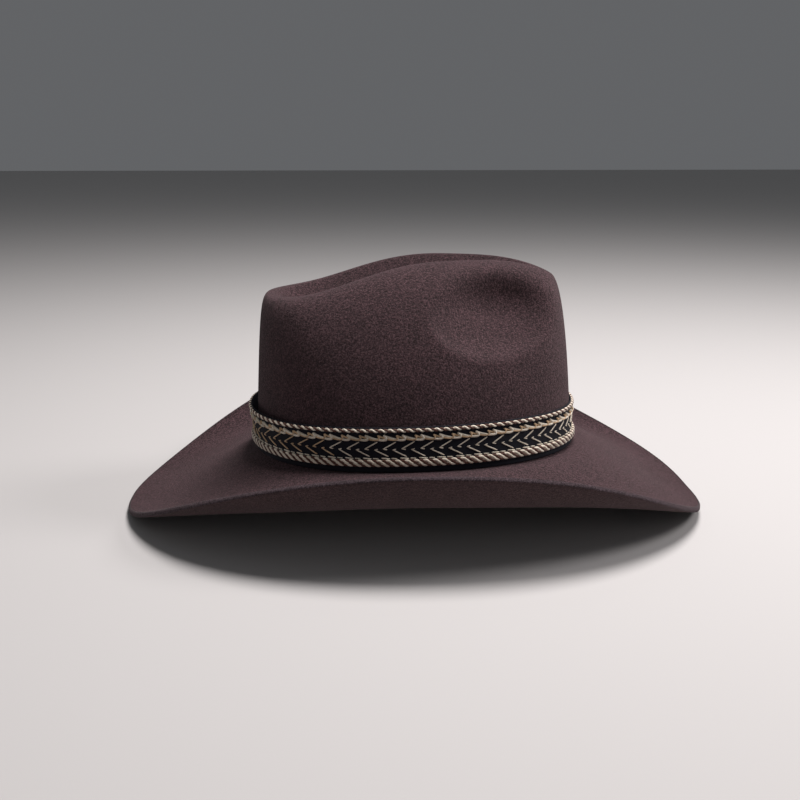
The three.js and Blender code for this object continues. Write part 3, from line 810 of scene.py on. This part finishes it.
finish_piece(patch("seam_tape", math.pi, 0.075, 5, 41, REED, 0.5), "hat", "leather", "sweatband_back_seam")
finish_piece(patch("blank_size_label", math.pi - 0.54, 0.08, 12, 30, LABEL, 0.45),
             "hat", "label", "size_label")


def bow():
    """Two ribbon loops, two tails and a knot, on the seam."""
    seat = off_wall(np.array(math.pi), np.array(12.0), np.array(FACE - 1.8))
    x0, z0 = seat[0], seat[2] + 6
    verts, faces, uvs = [], [], []

    def ribbon(points, widths):
        base = len(verts)
        for (y, z, lift), width in zip(points, widths):
            for side in (-1, 1):
                verts.append((x0 + lift, y, z0 + z + side * width / 2))
                uvs.append((y, side * width / 2))
        for k in range(len(points) - 1):
            a = base + 2 * k
            faces.append((a, a + 1, a + 3, a + 2))

    for side in (-1, 1):
        t = np.linspace(0, 1, 24)
        y = side * (1.0 + 10.4 * np.sin(np.pi * t) ** 0.8)
        z = 1.3 * np.sin(TAU * t) + 1.2 * np.sin(np.pi * t)
        lift = 0.35 + 0.5 * (1 - np.cos(TAU * t)) * 0.5 + 0.45 * t
        ribbon(np.stack([y, z, lift], -1), 3.0 + 4.2 * np.sin(np.pi * t) ** 1.2)
        t = np.linspace(0, 1, 12)
        y = side * (0.8 + 5.6 * t)
        z = -1.2 - 8.0 * t
        ribbon(np.stack([y, z, 0.35 + 0.25 * np.sin(3 * t)], -1), 2.4 + 2.2 * t)
    t = np.linspace(-1, 1, 9)
    ribbon(np.stack([1.9 * t, 0 * t, 0.9 + 0.5 * np.cos(t * 1.5)], -1), np.full(9, 4.2))
    obj = add_object("ribbon_bow", verts, faces, [RIBBON], uvs=uvs)
    solid = obj.modifiers.new("thickness", "SOLIDIFY")
    solid.thickness = 0.35 * MM
    return obj


finish_piece(bow(), "hat", "ribbon", "sweatband_bow")


# ---- lining ----
def under_wall(th, w, depth):
    step = 0.01
    p = wall_point(th, w)
    around = wall_point(th + step, w) - wall_point(th - step, w)
    up = wall_point(th, w + step) - wall_point(th, w - step)
    n = np.cross(around, up)
    n /= np.linalg.norm(n, axis=-1, keepdims=True)
    return p - n * np.asarray(depth)[..., None]


LINING_OUT = CROWN_THICKNESS + 3.4
LINING_END = 0.85
PLEATS = 44


def lining_side():
    def section(th):
        low = (SWEATBAND_HEIGHT + 1.5) / (crest_point(th)[..., 2] - break_point(th)[..., 2])
        t = np.linspace(0, 1, 26)[None, :]
        w = mix(low[:, None], LINING_END, t)
        th2, w = np.broadcast_arrays(th[:, None], w)
        ripple = 0.35 * np.sin(th2 * PLEATS) * np.sin(np.pi * np.clip(t * 1.05, 0, 1))
        front = under_wall(th2, w, LINING_OUT + 0.1 + ripple * 0.3)
        back = under_wall(th2, w, LINING_OUT + 0.75 + ripple)
        return np.concatenate([front, back[:, ::-1]], axis=1)
    return ring_object("satin_side", section, SATIN, 400)


finish_piece(lining_side(), "hat", "satin", "lining_side")
PIPING_AT = LINING_END + 0.025
PIPING_DEPTH = LINING_OUT + 0.6


def piping_section(th):
    th = th[:, None]
    turn = np.linspace(0, TAU, 12, endpoint=False)[None, :]
    middle = under_wall(th, np.full(th.shape, PIPING_AT), np.full(th.shape, PIPING_DEPTH))
    p = middle + break_out(th) * (0.75 * np.cos(turn))[..., None]
    p[..., 2] += 0.75 * np.sin(turn)
    return p


finish_piece(ring_object("satin_piping", piping_section, PIPING, 300), "hat", "satin", "lining_piping")


def lining_tip():
    columns, rows = 300, 22
    th = np.linspace(0, TAU, columns, endpoint=False)[:, None]
    t = np.linspace(0, 1, rows)[None, :]
    edge = under_wall(th, np.full(th.shape, PIPING_AT), np.full(th.shape, PIPING_DEPTH + 1.2))
    bottom = crease_point(th, np.array([[1.0]]))
    bottom[..., 2] -= CROWN_THICKNESS + 1.4
    bottom[..., 1] = 0
    p = mix(edge, bottom, t[..., None])
    p[..., 2] = mix(edge[..., 2], bottom[..., 2], 1 - (1 - t) ** 2.4)
    under = p.copy()
    under[..., 2] -= 0.8
    loop = np.concatenate([p[:, ::-1], under], axis=1)
    n, m = loop.shape[:2]
    obj = add_object("satin_tip", loop.reshape(-1, 3), grid_faces(n, m, True, False), [SATIN])
    weld = obj.modifiers.new("weld", "WELD")
    weld.merge_threshold = 1e-6
    return obj


finish_piece(lining_tip(), "hat", "satin", "lining_tip")

# ---- floor, light and camera ----
FLOOR_HALF = 6  # metres
FLOOR_Z = -0.0005  # just under the brim's tips
mesh = bpy.data.meshes.new("floor")
corners = [(x * FLOOR_HALF, y * FLOOR_HALF, FLOOR_Z) for x, y in ((-1, -1), (1, -1), (1, 1), (-1, 1))]
mesh.from_pydata(corners, [], [(0, 1, 2, 3)])
floor = bpy.data.objects.new("floor", mesh)
bpy.context.scene.collection.objects.link(floor)
floor_mat, _, _, floor_bsdf = new_material("floor_paint")
floor_bsdf.inputs["Base Color"].default_value = (0.5, 0.49, 0.48, 1)
floor_bsdf.inputs["Roughness"].default_value = 0.9
mesh.materials.append(floor_mat)

world = bpy.data.worlds.new("studio")
bpy.context.scene.world = world
world.use_nodes = True
world.node_tree.nodes["Background"].inputs["Color"].default_value = (0.82, 0.84, 0.88, 1)
world.node_tree.nodes["Background"].inputs["Strength"].default_value = 0.15


def area_light(name, place, aim, size, power, colour=(1, 1, 1)):
    light = bpy.data.lights.new(name, "AREA")
    light.shape = "DISK"
    light.size = size
    light.energy = power
    light.color = colour
    obj = bpy.data.objects.new(name, light)
    obj.location = place
    obj.rotation_euler = (Vector(aim) - Vector(place)).to_track_quat("-Z", "Y").to_euler()
    bpy.context.scene.collection.objects.link(obj)


area_light("top", (0.3, 0.22, 1.45), (0.02, 0, 0.1), 0.7, 30, (1, 0.955, 0.955))
area_light("key", (1.1, -0.1, 0.95), (0.02, 0, 0.08), 0.5, 8, (1, 0.955, 0.965))
area_light("fill", (0.3, -1.5, 0.6), (0, 0, 0.08), 0.9, 1.6, (1, 0.94, 0.94))

# The camera looks at the hat's right side, a little from behind and above.
CAMERA_PLACE = (-0.0452, -0.7587, 0.2454)
TURN, TILT = -0.0473, 0.2310
LENS = 52.44
camera_data = bpy.data.cameras.new("camera")
camera_data.lens = LENS
camera_data.sensor_width = 36
camera = bpy.data.objects.new("camera", camera_data)
camera.location = CAMERA_PLACE
forward = Vector((-math.sin(TURN) * math.cos(TILT), math.cos(TURN) * math.cos(TILT), -math.sin(TILT)))
camera.rotation_euler = forward.to_track_quat("-Z", "Y").to_euler()
bpy.context.scene.collection.objects.link(camera)
bpy.context.scene.camera = camera
bpy.context.scene.view_settings.view_transform = "Standard"
